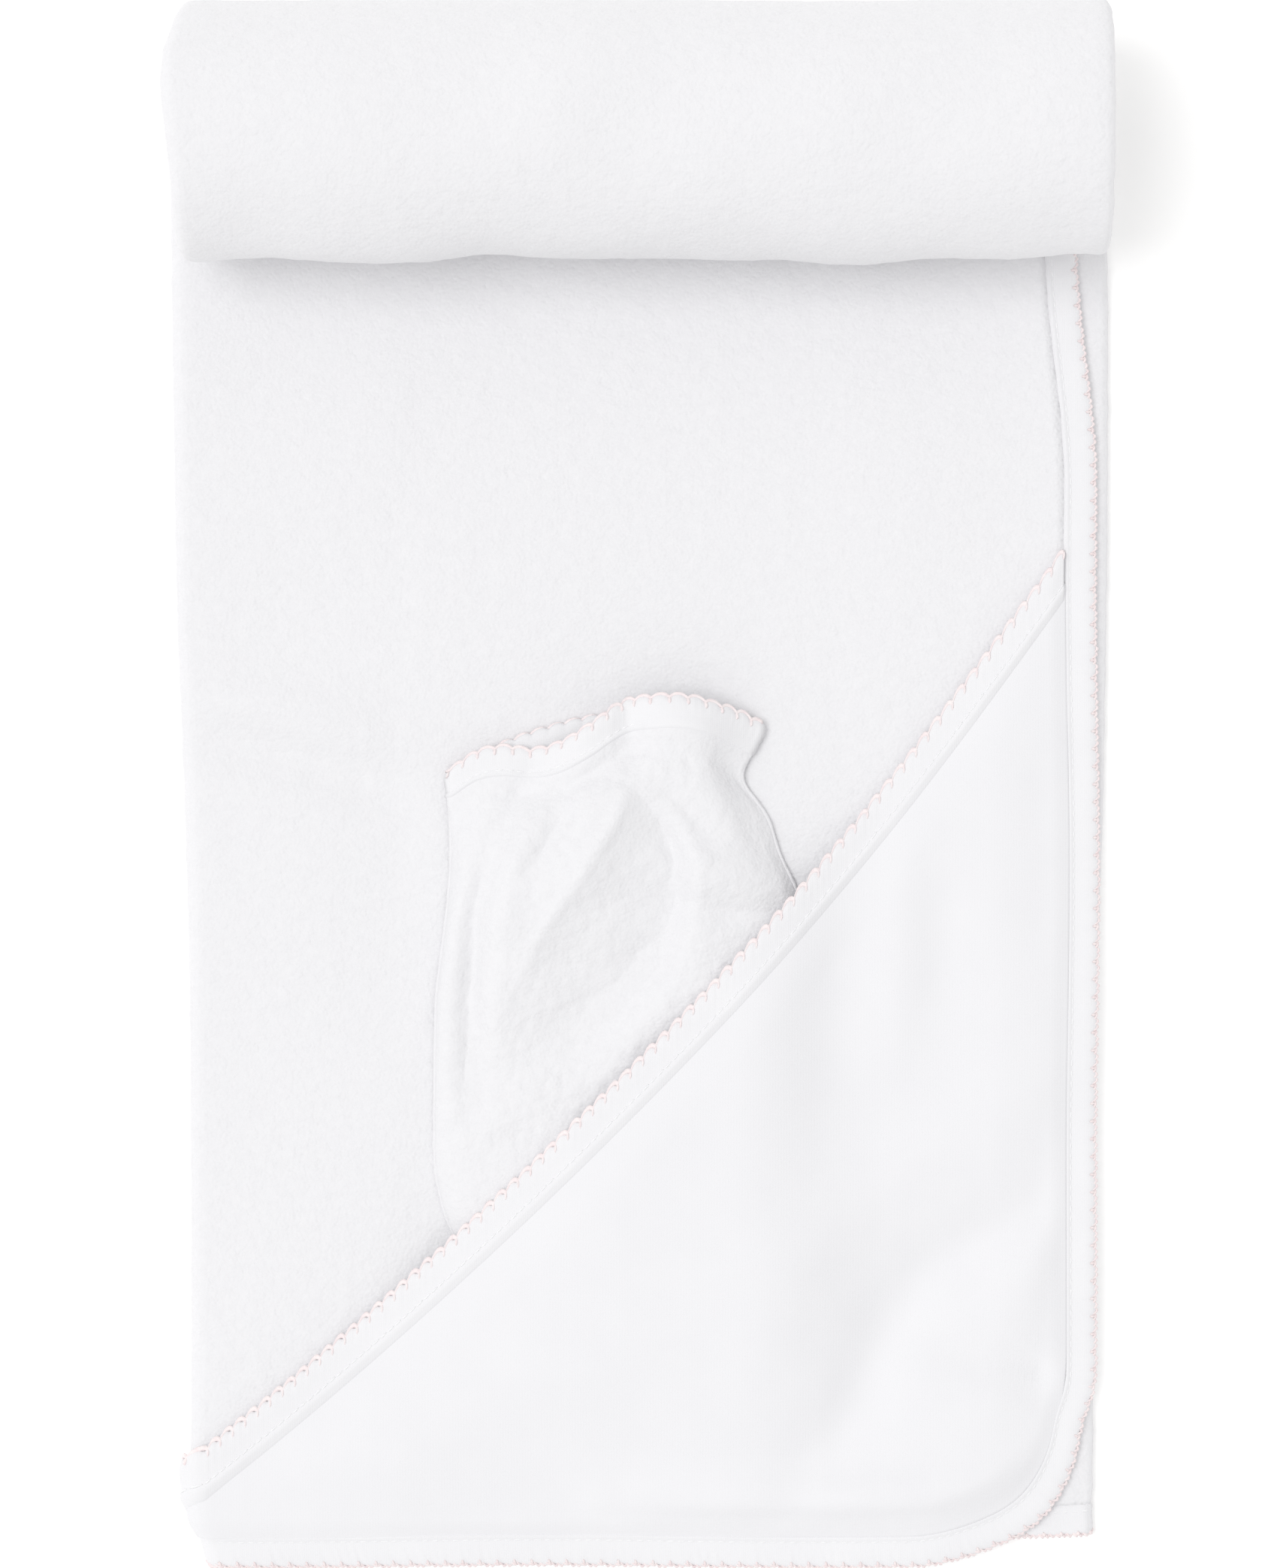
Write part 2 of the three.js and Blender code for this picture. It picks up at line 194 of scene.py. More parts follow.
def folded(u, v, n):
    """Where a point of the cloth lies across the stack, how high in it, and its share of LOWER_EDGE_RISE."""
    opening = 1 + CORE_OPENING * smooth(v, SIDE - CORNER, SIDE - TAPE)
    wide = WIDE * opening
    tight = TIGHT * opening
    bottom = TERRY / 2
    left = left_fold(v) + wide + bottom
    right = right_fold(v) - tight - bottom
    clear_of_fold = 8.5
    inner = left_fold(v) + clear_of_fold
    first = math.pi * clamp((u - FIRST_FOLD) / (FIRST_END - FIRST_FOLD))
    second = math.pi * clamp((u - SECOND_FOLD) / (SECOND_END - SECOND_FOLD))
    low = clamp((u - FIRST_END) / (SECOND_FOLD - FIRST_END))
    middle = clamp((u - SECOND_END) / (SIDE - SECOND_END))
    zones = [u <= FIRST_FOLD, u <= FIRST_END, u <= SECOND_FOLD, u <= SECOND_END]
    x = np.select(zones, [
        lerp(bound_edge(v), left, u / FIRST_FOLD),
        left - (wide + n) * np.sin(first),
        lerp(left, right, low),
        right + (tight + n) * np.sin(second),
    ], lerp(right, inner, middle))
    height = np.select(zones, [
        bottom + 2 * wide + n,
        bottom + wide + (wide + n) * np.cos(first),
        bottom - n,
        bottom + tight - (tight + n) * np.cos(second),
    ], bottom + 2 * tight + n)
    skew = np.select(zones, [0 * u, 0 * u, low, 1 + 0 * u], 1 - middle)
    return x, height, skew


def place(u, v, n):
    """Where a point of the cloth lies: u across from the bound edge on top, v up from the hood's edge,
    n off the cloth's middle towards the face that carries the hood."""
    u, v, n = np.broadcast_arrays(np.asarray(u, float), np.asarray(v, float), np.asarray(n, float))
    x, height, skew = folded(u, v, n)
    along = v + LOWER_EDGE_RISE * skew * clamp(1 - v / FLAT)
    lead = ROLL_RADIUS - STACK / 2
    tighten = ROLL_PITCH / (4 * math.pi)
    angle = (lead - np.sqrt(lead**2 - 4 * tighten * np.maximum(along - FLAT, 0))) / (2 * tighten)
    curl = CORE_CURL * smooth(along, SIDE - CORNER, SIDE - TAPE)
    r = ROLL_RADIUS - ROLL_PITCH * angle / (2 * math.pi) - height - curl
    flat_y = ROLL_Y + along - FLAT
    lift = TIP_LIFT * clamp((-10 - x) / 80) * clamp((-80 - flat_y) / 100)
    on_flat = along <= FLAT
    y = np.where(on_flat, flat_y, ROLL_Y + r * np.sin(angle))
    z = np.where(on_flat, SQUASH * height + lift, SQUASH * (ROLL_RADIUS - r * np.cos(angle)))
    return np.stack([x, y, z], axis=-1)


# ---- The small unevenness of real cloth, the same for all that lies together ----

sway = ripples(3, 150)
swell = ripples(5, 75)
roll_waves = ripples(8, 60)
roll_dents = ripples(9, 34)

# A swell and the crease below it, between the left fold and the mitt.
TOWEL_RELIEF = [
    (2.0, 8, [(-132, 31), (-98, 22), (-66, 12)]),
    (-3.2, 6.5, [(-132, 20), (-98, 11), (-61, -2)]),
]


def corner_bulge(x, y):
    """How far the top layer's corner is pushed out, which leaves it less round than it was cut."""
    across, down = x - CORNER_MIDDLE[0], CORNER_MIDDLE[1] - y
    turn = np.degrees(np.arctan2(down, np.maximum(across, 0.01)))
    shape = 2.5 * hump(turn, 48, 16) - 1.5 * hump(turn, 18, 9)
    return shape * smooth(np.hypot(across, down), 22, 48) * (across > 0) * (down > 0)


def settle(points):
    """Bends space a little, so that no fold or edge is ruler straight, with the floor kept where it is."""
    x, y, z = points[..., 0], points[..., 1], points[..., 2]
    in_roll = smooth(y, ROLL_Y - 55, ROLL_Y - 30)
    raised = clamp(z / TOWEL_TOP)
    on_top = smooth(z, 30, 66) * in_roll
    front = smooth(ROLL_Y - y, 8, 36) * in_roll
    moved = points.copy()
    moved[..., 0] += 0.7 * sway(y, 40 + 0 * y) * raised
    moved[..., 1] += (1.1 * roll_waves(x, 0 * x) + 0.45 * roll_dents(x, z)) * front * smooth(z, 8, 30)
    moved[..., 1] += 0.6 * sway(x, 90 + 0 * x) * raised
    beside_mitt = smooth(np.abs(x - MITT_MIDDLE_X), 52, 62)
    uneven = 0.45 * swell(x, y) * beside_mitt + relief(x, y, TOWEL_RELIEF)
    moved[..., 2] += uneven * raised * (1 - in_roll) * smooth(z, 2, 7)
    moved[..., 2] += (0.45 * roll_waves(x, y) + 0.2 * roll_dents(x, y)) * on_top
    bulge = corner_bulge(x, y) * smooth(z, 4, 6.5)
    moved[..., 0] += bulge * (x - CORNER_MIDDLE[0]) / CORNER
    moved[..., 1] += bulge * (y - CORNER_MIDDLE[1]) / CORNER
    moved[..., 2] = np.maximum(moved[..., 2], 0)
    return moved


# ---- Meshes ----


def grid_faces(rows, columns, ring=False):
    """Quads between neighbouring rows and columns of points; a ring closes the columns on themselves."""
    i = np.arange(rows - 1)[:, None]
    j = np.arange(columns if ring else columns - 1)[None, :]
    k = (j + 1) % columns
    corners = np.stack(np.broadcast_arrays(i * columns + j, i * columns + k,
                                           (i + 1) * columns + k, (i + 1) * columns + j), axis=-1)
    return corners.reshape(-1, 4)


def signed_volume(points, faces):
    """Six times the volume inside, negative where the faces look inwards."""
    total = 0.0
    for group in faces:
        for m in range(1, group.shape[1] - 1):
            a, b, c = points[group[:, 0]], points[group[:, m]], points[group[:, m + 1]]
            total += np.einsum("ij,ij->i", a, np.cross(b, c)).sum()
    return total


def build(name, points, *faces):
    """A smooth mesh object from points in millimetres, and arrays with one polygon in each row."""
    points = settle(points.reshape(-1, 3))
    if signed_volume(points, faces) < 0:
        faces = [group[:, ::-1] for group in faces]
    corners = np.concatenate([group.ravel() for group in faces])
    sizes = np.concatenate([np.full(len(group), group.shape[1]) for group in faces])
    mesh = bpy.data.meshes.new(name)
    mesh.vertices.add(len(points))
    mesh.vertices.foreach_set("co", (points * MM).astype(np.float32).ravel())
    mesh.loops.add(len(corners))
    mesh.loops.foreach_set("vertex_index", corners.astype(np.int32))
    mesh.polygons.add(len(sizes))
    mesh.polygons.foreach_set("loop_start", (np.cumsum(sizes) - sizes).astype(np.int32))
    mesh.update(calc_edges=True)
    mesh.validate()
    mesh.shade_smooth()
    made = bpy.data.objects.new(name, mesh)
    bpy.context.scene.collection.objects.link(made)
    return made


def closed_sheet(name, upper, lower):
    """A sheet of cloth from the points of its two faces, with a rim between them."""
    rows, columns = upper.shape[:2]
    count = rows * columns
    i, j = np.arange(rows), np.arange(columns)
    loop = np.concatenate([
        j[:-1], i[:-1] * columns + columns - 1,
        (rows - 1) * columns + j[:0:-1], i[:0:-1] * columns,
    ])
    after = np.roll(loop, -1)
    top = grid_faces(rows, columns)
    rim = np.stack([after, loop, loop + count, after + count], axis=-1)
    points = np.concatenate([upper.reshape(-1, 3), lower.reshape(-1, 3)])
    return build(name, points, top, top[:, ::-1] + count, rim)


def swept(name, points, closed):
    """A closed section swept along stations: points has one row for each station."""
    stations, sides = points.shape[:2]
    if closed:
        points = np.concatenate([points, points[:1]])
        faces = grid_faces(stations + 1, sides, ring=True) % (stations * sides)
        return build(name, points[:-1], faces)
    first = np.arange(sides)[None, ::-1]
    last = np.arange(sides)[None, :] + (stations - 1) * sides
    return build(name, points, grid_faces(stations, sides, ring=True), first, last)


def threads(runs):
    """Points and faces of many separate short threads: runs is count x rings x sides x 3."""
    count, rings, sides = runs.shape[:3]
    start = (np.arange(count) * rings * sides)[:, None, None]
    body = (start + grid_faces(rings, sides, ring=True)[None]).reshape(-1, 4)
    first = start[:, :, 0] + np.arange(sides)[None, ::-1]
    last = start[:, :, 0] + np.arange(sides)[None, :] + (rings - 1) * sides
    return runs.reshape(-1, 3), body, np.concatenate([first, last])


# ---- Edges ----
# Each gives at(along, inward, off), a point by its way along the edge, in from it and off it. plain is 0
# where the binding stands free and 1 where it is pressed flat, and swollen is 1 where its groove is filled.
# strands: cords in the picot           thread: their radius
# notch: how deep the rim is drawn in   tooth: how far in the thread bites at a notch
# lip: extra width of the inner fold    proud: how far the stitches stand out of their groove


class ClothOutline:
    """The towel's outline, straight sides with rounded corners, from the hood's corner up the bound edge."""

    closed = True
    strands = 2
    notch = 0.45
    tooth = 1.9
    lip = 0
    proud = 0
    thread = 0.42
    stitches = 1020
    straight = SIDE - 2 * CORNER
    arc = math.pi * CORNER / 2
    length = 4 * (straight + arc)

    def at(self, along, inward, off):
        along, inward, off = np.broadcast_arrays(along, inward, off)
        side = self.straight + self.arc
        quarter = np.floor(along / side).astype(int) % 4
        past = along % side
        line = np.minimum(past, self.straight)
        turn = np.maximum(past - self.straight, 0) / CORNER
        reach = CORNER - inward
        across = CORNER - reach * np.cos(turn)
        up = CORNER + line + reach * np.sin(turn)
        u = np.choose(quarter, [across, up, SIDE - across, SIDE - up])
        v = np.choose(quarter, [up, SIDE - across, SIDE - up, across])
        return place(u, v, off)

    def plain(self, along):
        """1 where the edge lies under other cloth or in the roll, 0 on the top layer."""
        up_bound_edge = along % self.length
        down_hood_edge = (self.length - along) % self.length
        shown_side = 1 - smooth(up_bound_edge, 316, 326)
        shown_hood_edge = 1 - smooth(down_hood_edge, self.arc + 182, self.arc + 196)
        return 1 - np.maximum(shown_side, shown_hood_edge)

    def swollen(self, along):
        return 0 * along


class HoodMouth:
    """The hood's mouth, a diagonal from the bound edge to the fold and a little way round it."""

    closed = False
    strands = 1
    notch = 1.0
    tooth = 2.4
    lip = 0.8
    proud = 0.2
    thread = 0.53
    stitches = 126
    length = (HOOD_TIP_END - HOOD_INSET) * SLANT

    def at(self, along, inward, off):
        u = HOOD_INSET + along / SLANT
        return place_hood(u, mouth_edge(u) - inward * SLANT, off)

    def plain(self, along):
        return 0.45 + 0.55 * smooth(along, (FIRST_FOLD - 6) * SLANT, (FIRST_END - 8) * SLANT)

    def swollen(self, along):
        return 0 * along


class MittCuff:
    """The mitt's open end: over the front from one side to the other, and back along the underside."""

    closed = True
    strands = 1
    notch = 0.95
    tooth = 2.7
    lip = 0
    proud = 0.1
    thread = 0.53
    stitches = 66

    def __init__(self):
        self.turn = np.linspace(0, 2 * math.pi, 721)
        ring = mitt_surface(self.turn, 0 * self.turn)
        steps = np.linalg.norm(np.diff(ring, axis=0), axis=1)
        self.way = np.concatenate([[0], np.cumsum(steps)])
        self.length = self.way[-1]

    def at(self, along, inward, off):
        turn = np.interp(along % self.length, self.way, self.turn)
        return mitt_point(turn, inward, off)

    def plain(self, along):
        return 0.25 + 0 * along

    def swollen(self, along):
        """1 where the front bulges to the right and draws its stitching flat."""
        turn = np.interp(along % self.length, self.way, self.turn)
        return smooth(-np.cos(turn), 0.12, 0.34) * (turn < math.pi)


# ---- Shape of the hood ----


def mouth_edge(u):
    """How far up the cloth the hood's slightly bowed mouth is, at a place across it."""
    v = MOUTH - u
    for _ in range(8):
        v = MOUTH + MOUTH_BOW * (v - u) ** 2 - u
    return v


hood_waves = ripples(21, 62)
hood_folds = ripples(22, 30)

# The hood's creases and swells, by the lines that they follow in the frame's x and y.
HOOD_RELIEF = [
    (-3.4, 9, [(150, -96), (118, -110), (98, -118), (78, -129), (66, -143), (58, -164), (34, -200)]),
    (2.2, 12, [(116, -78), (84, -94), (62, -108), (44, -126), (30, -160)]),
    (2.2, 10, [(126, -104), (112, -116), (103, -134), (95, -146)]),
    (-2.6, 6, [(72, -146), (94, -154), (110, -158), (136, -164)]),
    (4.8, 7, [(-10, -191), (34, -191), (78, -190), (118, -180)]),
    (1.6, 9, [(68, -10), (69, -50), (64, -86)]),
    (-2.2, 11, [(52, -22), (49, -64), (54, -100)]),
    (-1.2, 7, [(80, -20), (81, -40), (80, -62)]),
    (1.6, 13, [(-110, -184), (-60, -172), (-6, -150)]),
]


def hood_relief(u, v):
    """Soft hollows and swells of the hood's jersey, at its place across and up the cloth."""
    x = HOOD_CORNER[0] - u
    y = HOOD_CORNER[1] + v
    return 0.3 * hood_waves(x, y) + 0.08 * hood_folds(x, y) + relief(x, y, HOOD_RELIEF)


def vault(u, v, inside):
    """How far the hood stands off the towel: a little all over, and more where it goes over the mitt."""
    puff = 2.4 * smooth(inside - HOOD_INSET, 0, 20) * smooth(FIRST_FOLD - u, 0, 50)
    puff = puff * smooth(mouth_edge(u) - v, 0, 30)
    over_mitt = 9.5 * smooth(u, 56, 98) * (1 - smooth(u, 130, 214)) * smooth(v, 14, 92)
    return puff + over_mitt


def place_hood(u, v, n):
    """A point n off the middle of the hood's jersey, whose edges are sewn in under the binding."""
    rounded = CORNER - np.hypot(np.maximum(CORNER - u, 0), np.maximum(CORNER - v, 0))
    inside = np.where((u < CORNER) & (v < CORNER), rounded, np.minimum(u, v))
    below_mouth = mouth_edge(u) - v
    free = smooth(inside - HOOD_INSET, 0, 9) * smooth(FIRST_FOLD - u, 0, 30) * smooth(below_mouth, 6, 34)
    sunk = 2.2 + 0.6 * (1 - smooth(v, 14, 30)) * smooth(u, 34, 60) * (1 - smooth(u, 180, 200))
    beside_binding = np.maximum(smooth(below_mouth, 6, 16), 1 - smooth(u, 60, 90))
    tucked = sunk * (1 - smooth(inside, HOOD_TUCK - 3, HOOD_TUCK + 5)) * beside_binding
    return place(u, v, HOOD_BASE - tucked + vault(u, v, inside) + hood_relief(u, v) * free + n)


# ---- Shape of the mitt ----

# The cuff's rim over the front, from side to side: its y, and its height over the back.
CUFF_FRONT = [
    (-1, 6.3), (-0.82, 11.3), (-0.64, 12.6), (-0.46, 11.8), (-0.28, 13.8), (-0.1, 18.6),
    (0.08, 24.2), (0.28, 26.3), (0.5, 26.6), (0.72, 24.5), (0.88, 22.2), (1, 19.7),
]
CUFF_HEIGHT = [
    (-1, 2.6), (-0.85, 3.0), (-0.6, 3.6), (-0.35, 4.5), (-0.14, 7.8), (0.0, 7.4), (0.15, 5.2), (0.29, 8.2),
    (0.45, 9.8), (0.66, 9.6), (0.85, 6.8), (1, 3.6),
]
# Across the towel, against the way down it from the frame's middle: a sharp crest and the fold beside it.
CREST = [(-8, -4), (-1, -4.3), (18.8, -14.2), (36.3, -26), (52, -34), (90, -48)]
VALLEY = [(-8, -3), (-1, -2.2), (6.2, 3), (12.9, 6.2), (27, 8.4), (38.8, 4.6), (63, -14), (90, -34)]
# Smaller creases and swells of the mitt's front.
MITT_RELIEF = [
    (-5.5, 4.6, [(-30, 5), (-36, -9), (-41, -20), (-45, -34), (-46, -56), (-45, -86)]),
    (2.6, 4, [(-46, -12), (-51, -30), (-53, -56), (-53, -86)]),
    (2.8, 5.5, [(-24, 4), (-37, -21), (-41, -46), (-42, -70)]),
    (-1.8, 3, [(-19, -3), (-24, -12), (-33, -24)]),
    (1.6, 7.5, [(0, 20), (14, 17), (30, 9)]),
    (-2.4, 4, [(0, 6), (10, -4), (21, -16)]),
    (2.2, 5.5, [(6, -20), (22, -21), (42, -22)]),
    (-2.2, 3.5, [(6, -30), (22, -32), (40, -31)]),
    (-2.6, 4.5, [(23, 8), (27, -3), (34, -15)]),
]
mitt_lumps = ripples(31, 17)
mitt_tufts = ripples(32, 4.5, 40)


def mitt_height(across, s, x, y):
    """Height of the mitt's front over its back, with the pleat that falls from the cuff."""
    cuff = through(CUFF_HEIGHT, across)
    body = 3.2 + lerp(9.6, 1.4, smooth(s, 26, 100)) * (1 - 0.35 * across**2)
    height = lerp(cuff, body, smooth(s, 5, 34))
    crest, valley = through(CREST, -y), through(VALLEY, -y)
    width = np.maximum(valley - crest, 0.6)
    fades = smooth(-y, -4, 3) * (1 - smooth(-y, 46, 88))
    depth = np.minimum(0.44 * width, 6.9) * fades
    down = clamp((x - crest) / width)
    up = smooth((x - valley) / lerp(7.5, 17, smooth(-y, 26, 66)), 0, 1)
    height = height - depth * down * (1 - up)
    reach = np.where(x < crest, 6.0, 2.5)
    height = height + 1.7 * np.exp(-np.abs(x - crest) / reach) * fades * (1 - smooth(-y, 30, 60))
    height = height + relief(x, y, MITT_RELIEF)
    drawn_in = 0.8 + 1.5 * hump(across, -0.14, 0.26)
    height = height - drawn_in * hump(s, 13.6, 3.6)
    height = height + 0.4 * mitt_lumps(40 * across, s) * smooth(s, 10, 20)
    height = height + 0.14 * mitt_tufts(x, y) * smooth(s, 9, 14)
    lowest = 2.2
    return np.maximum(height, lowest)


def mitt_surface(turn, s):
    """The middle of the mitt's cloth: turn 0 to pi over the front from its left side, then back underneath,
    and s down from the cuff."""
    across = -np.cos(turn)
    front = np.sin(turn) >= 0
    half = lerp(MITT_CUFF_HALF_WIDTH, MITT_HALF_WIDTH, smooth(s, 12, 70))
    half = half * np.sqrt(1 - clamp((s / MITT_LENGTH - 0.65) / 0.353) ** 2)
    x = lerp(-9.6, MITT_MIDDLE_X, smooth(s, 0, 60)) + across * half
    x = x - (7.5 * hump(s, 15, 9) + 2.5 * hump(s, 34, 10)) * smooth(across, 0.45, 1)
    back_cuff = 13 + 6.7 * across + 8.3 * (1 - across**2)
    cuff_y = np.where(front, through(CUFF_FRONT, across), back_cuff)
    y = lerp(cuff_y, MITT_TIP_Y, s / MITT_LENGTH)
    sinks = 1.6 * smooth(s, -6, 4) + 0.6 * smooth(s, 10, 22)
    side = 1.6 - sinks * smooth(np.abs(across), 0.6, 0.98)
    from_side = np.abs(np.sin(turn))
    on_left = from_side ** lerp(1.05, 0.62, smooth(s, 22, 46))
    on_right = 0.82 * from_side**1.8 + 0.18 * from_side**0.62
    swing = np.where(across < 0, on_left, on_right)
    swing = np.where(front, swing, from_side**0.6)
    tip = 24
    closing = 1 - clamp((s - MITT_LENGTH + tip) / tip) ** 2.2
    rise = np.where(front, (mitt_height(across, s, x, y) - side) * swing * closing, -side * swing)
    z = MITT_BACK + side + rise
    return np.stack([x, y, z], axis=-1)


def mitt_point(turn, s, off):
    """A point off the middle of the mitt's cloth, square to it."""
    turn, s, off = np.broadcast_arrays(turn, s, off)
    small = 0.02
    step = 0.4
    here = mitt_surface(turn, s)
    round_it = mitt_surface(turn + small, s) - mitt_surface(turn - small, s)
    down_it = mitt_surface(turn, s + step) - mitt_surface(turn, s - step)
    normal = np.cross(down_it, round_it)
    normal /= np.maximum(np.linalg.norm(normal, axis=-1, keepdims=True), 1e-9)
    return here + off[..., None] * normal


# ---- Materials ----


def material(name, roughness, sheen):
    """A matt cloth material, with its node tree and its shader."""
    made = bpy.data.materials.new(name)
    made.use_nodes = True
    shader = made.node_tree.nodes["Principled BSDF"]
    shader.inputs["Roughness"].default_value = roughness
    shader.inputs["Specular IOR Level"].default_value = 0.2
    shader.inputs["Sheen Weight"].default_value = sheen
    shader.inputs["Sheen Roughness"].default_value = 0.6
    return made, made.node_tree, shader


def texture(tree, kind, size, **settings):
    """A texture node in the frame's coordinates, with features about size millimetres across."""
    node = tree.nodes.new(kind)
    coordinates = tree.nodes.new("ShaderNodeTexCoord")
    tree.links.new(coordinates.outputs["Object"], node.inputs["Vector"])
    node.inputs["Scale"].default_value = 1 / (size * MM)
    for key, value in settings.items():
        node.inputs[key].default_value = value
    return node


def blend_colours(tree, factor, low, high):
    """A colour between two, which follows a pattern."""
    ramp = tree.nodes.new("ShaderNodeValToRGB")
    ramp.color_ramp.elements[0].position = 0.3
    ramp.color_ramp.elements[0].color = (*low, 1)
    ramp.color_ramp.elements[1].position = 0.7
    ramp.color_ramp.elements[1].color = (*high, 1)
    tree.links.new(factor, ramp.inputs["Fac"])
    return ramp.outputs["Color"]


def bump(tree, height, distance, under=None):
    """A bump node over another, with its height in millimetres."""
    node = tree.nodes.new("ShaderNodeBump")
    node.inputs["Distance"].default_value = distance * MM
    node.inputs["Strength"].default_value = 1
    tree.links.new(height, node.inputs["Height"])
    if under is not None:
        tree.links.new(under, node.inputs["Normal"])
    return node.outputs["Normal"]


def terry_material():
    """Looped cotton: nubs under a millimetre, fibres in them, and faint unevenness of tone."""
    made, tree, shader = material("terry_cotton", 0.95, 0.25)
    tone = texture(tree, "ShaderNodeTexNoise", 2.2, Detail=4, Roughness=0.65)
    colour = blend_colours(tree, tone.outputs["Fac"], (0.797, 0.793, 0.81), (0.823, 0.819, 0.834))
    tree.links.new(colour, shader.inputs["Base Color"])
    nubs = texture(tree, "ShaderNodeTexVoronoi", 1.05, Randomness=1.0)
    turned = tree.nodes.new("ShaderNodeMath")
    turned.operation = "SUBTRACT"
    turned.inputs[0].default_value = 1
    tree.links.new(nubs.outputs["Distance"], turned.inputs[1])
    clumps = texture(tree, "ShaderNodeTexNoise", 5.0, Detail=3, Roughness=0.6)
    fibres = texture(tree, "ShaderNodeTexNoise", 0.35, Detail=2, Roughness=0.7)
    normal = bump(tree, clumps.outputs["Fac"], 0.5)
    normal = bump(tree, turned.outputs[0], 0.12, normal)
    normal = bump(tree, fibres.outputs["Fac"], 0.04, normal)
    tree.links.new(normal, shader.inputs["Normal"])
    return made


def knit_material(name, low, high, rib, depth):
    """Fine jersey: rows of small stitches in both directions, and a soft handle."""
    made, tree, shader = material(name, 0.85, 0.15)
    tone = texture(tree, "ShaderNodeTexNoise", 14, Detail=3, Roughness=0.55)
    tree.links.new(blend_colours(tree, tone.outputs["Fac"], low, high), shader.inputs["Base Color"])
    wales = texture(tree, "ShaderNodeTexWave", rib * 3.18, Distortion=0.6, Detail=1)
    wales.inputs["Detail Scale"].default_value = 1.5
    wales.bands_direction = "X"
    courses = texture(tree, "ShaderNodeTexWave", rib * 2.2, Distortion=0.9, Detail=1)
    courses.bands_direction = "Y"
    fuzz = texture(tree, "ShaderNodeTexNoise", 0.5, Detail=3, Roughness=0.7)
    slack = texture(tree, "ShaderNodeTexNoise", 9, Detail=2, Roughness=0.5)
    normal = bump(tree, slack.outputs["Fac"], 0.12)
    normal = bump(tree, wales.outputs["Fac"], depth, normal)
    normal = bump(tree, courses.outputs["Fac"], depth * 0.7, normal)
    normal = bump(tree, fuzz.outputs["Fac"], 0.05, normal)
    tree.links.new(normal, shader.inputs["Normal"])
    return made


def thread_material(name, low, high):
    """Spun thread: a twist along it and a slight change of shade from strand to strand."""
    made, tree, shader = material(name, 0.7, 0.1)
    tone = texture(tree, "ShaderNodeTexNoise", 1.6, Detail=2)
    tree.links.new(blend_colours(tree, tone.outputs["Fac"], low, high), shader.inputs["Base Color"])
    twist = texture(tree, "ShaderNodeTexWave", 2.6, Distortion=2.0, Detail=1)
    twist.bands_direction = "DIAGONAL"
    tree.links.new(bump(tree, twist.outputs["Fac"], 0.06), shader.inputs["Normal"])
    return made


TERRY_LOOK = terry_material()
JERSEY_LOOK = knit_material("jersey_knit", (0.812, 0.808, 0.827), (0.822, 0.818, 0.835), 0.75, 0.015)
TAPE_LOOK = knit_material("binding_knit", (0.814, 0.81, 0.827), (0.83, 0.826, 0.841), 0.6, 0.02)
PINK_LOOK = thread_material("pink_picot", (0.86, 0.745, 0.75), (0.90, 0.82, 0.815))
PALE_PINK_LOOK = thread_material("pale_pink_picot", (0.88, 0.775, 0.78), (0.91, 0.845, 0.84))
WHITE_LOOK = thread_material("white_sewing", (0.87, 0.868, 0.88), (0.90, 0.90, 0.905))


def finish_piece(piece, body, look, node):
    """Gives a piece its material and its body, and hides the CAD node that it stands for."""
    piece.data.materials.append(look)
    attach(piece, body)
    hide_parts(node)
    return piece


# ---- Towel ----


def spaced(*runs):
    """Positions from runs of (from, to, spacing)."""
    parts = [np.linspace(a, b, max(2, round((b - a) / gap) + 1))[:-1] for a, b, gap in runs]
    return np.concatenate([*parts, [runs[-1][1]]])


def corner_cut(v, inset):
    """How far in the rounded outline lies at v, for an outline inset from the cloth's own."""
    past = np.maximum(np.maximum(CORNER - v, v - (SIDE - CORNER)), 0)
    return CORNER - np.sqrt(np.maximum((CORNER - inset) ** 2 - past**2, 0))


cloth_lumps = ripples(41, 8)


def towel_cloth():
    """The whole square, with close points at the folds and wide ones in the layer that can't be seen."""
    last = SIDE - CLOTH_INSET
    edge_zone = 14
    inner_turn = 632
    across = spaced((CLOTH_INSET, FIRST_FOLD, 3), (FIRST_FOLD, FIRST_END, 1), (FIRST_END, SECOND_FOLD, 3),
                    (SECOND_FOLD, SECOND_END, 1), (SECOND_END, last, 14))
    along = spaced((CLOTH_INSET, edge_zone, 1.4), (edge_zone, FLAT, 3), (FLAT, inner_turn, 3),
                   (inner_turn, last, 4))
    v, u = np.meshgrid(along, across, indexing="ij")
    cut = corner_cut(v, CLOTH_INSET)
    u = np.clip(u, cut, SIDE - cut)
    under_hood = smooth(mouth_edge(u) - v, 8, 20) * smooth(FIRST_FOLD - u, -2, 6)
    lumps = 0.12 * cloth_lumps(u, v) - 0.9 * under_hood
    edge_distance = np.minimum(np.minimum(v, SIDE - v), SIDE - u)
    at_edge = 1 - smooth(edge_distance, CLOTH_INSET, CLOTH_INSET + 4)
    half = TERRY / 2 - 0.5 * at_edge * smooth(u, FIRST_END - 4, FIRST_END)
    return closed_sheet("towel_cloth", place(u, v, half + lumps), place(u, v, -half))


